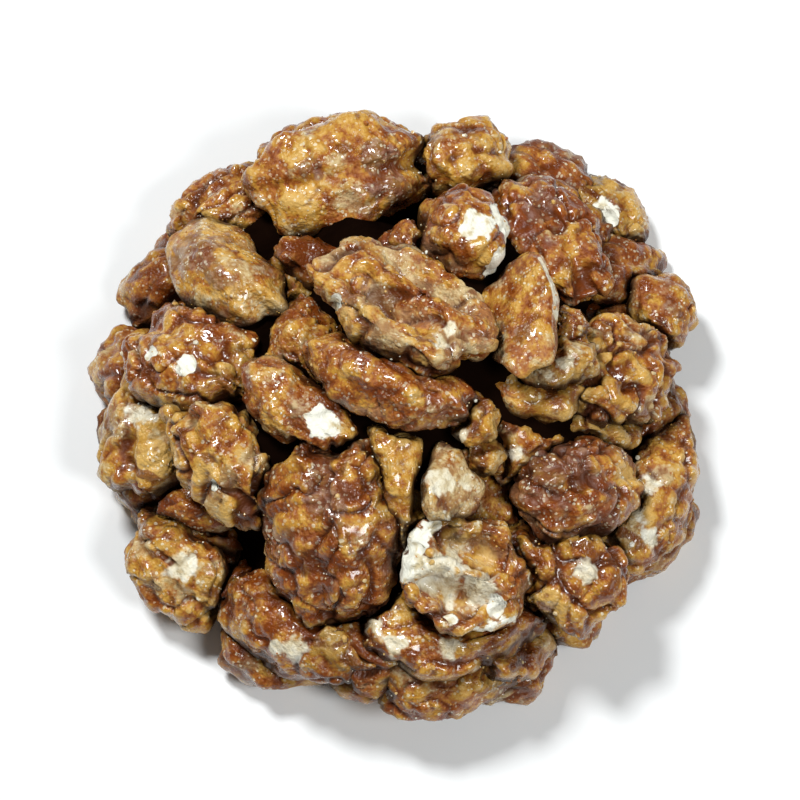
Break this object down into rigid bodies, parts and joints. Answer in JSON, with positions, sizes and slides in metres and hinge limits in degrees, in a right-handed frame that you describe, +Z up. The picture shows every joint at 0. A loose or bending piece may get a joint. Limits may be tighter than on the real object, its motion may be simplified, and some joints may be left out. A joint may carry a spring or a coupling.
{
  "type": "candied walnuts",
  "caption": "A loose, low round heap of sugar-glazed walnut halves and broken pieces, resting flat on its base.",
  "frame": {"origin": "on the surface that the heap rests on, under the middle of the heap", "axes": "+Z up, +Y away from the viewer, towards the top of the picture, and +X to the right"},
  "size_m": [0.1201, 0.1208, 0.0509],
  "materials": {
    "sugar_glaze": "caramel-brown sugar glaze over walnut, glossy in places and grainy in others, with bare pale nut where it is chipped",
    "glaze_shadow": "dark glazed walnut deep inside the heap"
  },
  "bodies": {
    "root": {"candied_walnut_heap": "sugar_glaze"}
  },
  "joints": []
}
